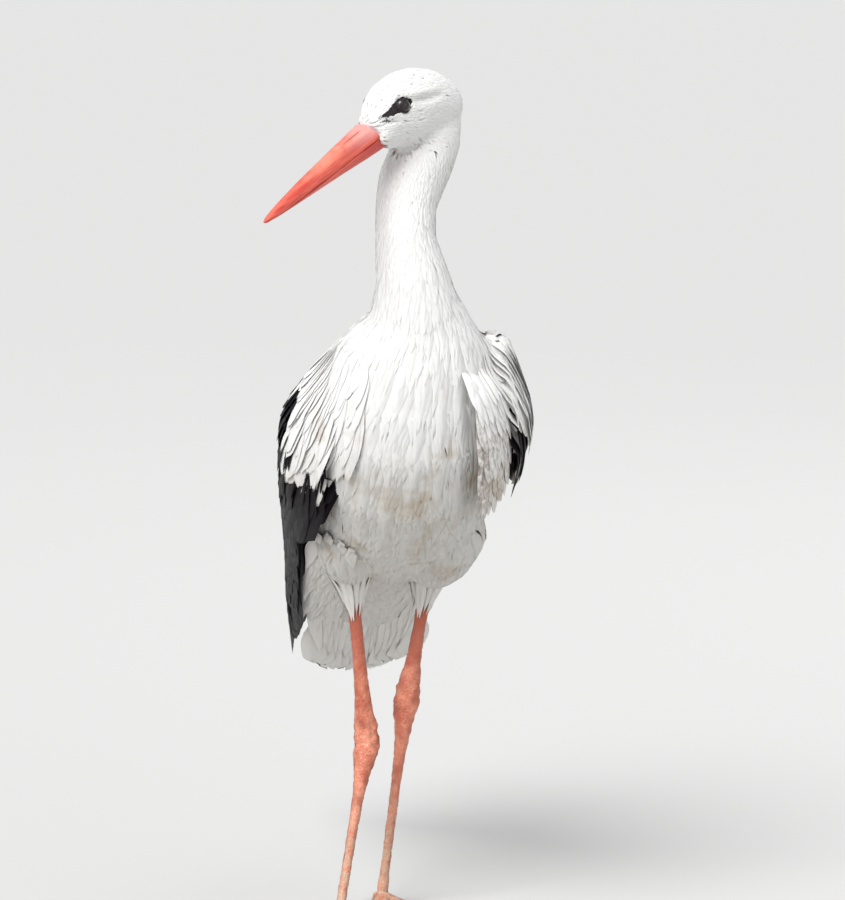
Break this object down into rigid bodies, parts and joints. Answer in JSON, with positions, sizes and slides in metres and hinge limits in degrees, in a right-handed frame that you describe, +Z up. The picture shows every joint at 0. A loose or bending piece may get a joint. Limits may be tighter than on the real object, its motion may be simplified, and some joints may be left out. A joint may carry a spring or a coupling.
{
  "type": "white stork",
  "caption": "White stork standing with one foot forward, neck upright and head turned to its right, as a still life-size model",
  "frame": {"origin": "on the floor, under the middle of the bird's bounding box", "axes": "+Z up; the bird faces -Y; +X is towards the bird's left side"},
  "size_m": [0.2492, 0.6072, 0.8372],
  "materials": {
    "white_plumage": "soft matt white contour feathers, a little warm, stained tan on the belly",
    "black_plumage": "black flight feathers with a faint purple-brown sheen",
    "leg_skin": "scaly red-orange skin, whitish and dirty towards the feet",
    "bill": "smooth salmon-red horn with a low gloss",
    "eye": "wet, very dark brown",
    "claw": "blunt dark brown horn"
  },
  "bodies": {
    "root": {"head": "white_plumage", "neck_upper": "white_plumage", "neck_lower": "white_plumage", "bill_upper": "bill", "bill_lower": "bill", "eye_left": "eye", "eye_right": "eye", "trunk": "white_plumage", "wing_right": "white_plumage", "wing_right_flight": "black_plumage", "wing_left": "white_plumage", "wing_left_flight": "black_plumage", "tail": "white_plumage", "thigh_left": "white_plumage", "shank_left": "leg_skin", "tarsus_left": "leg_skin", "claw_left_middle": "claw", "claw_left_inner": "claw", "claw_left_outer": "claw", "claw_left_hind": "claw", "foot_left": "leg_skin", "thigh_right": "white_plumage", "shank_right": "leg_skin", "tarsus_right": "leg_skin", "claw_right_middle": "claw", "claw_right_inner": "claw", "claw_right_outer": "claw", "claw_right_hind": "claw", "foot_right": "leg_skin"}
  },
  "joints": []
}
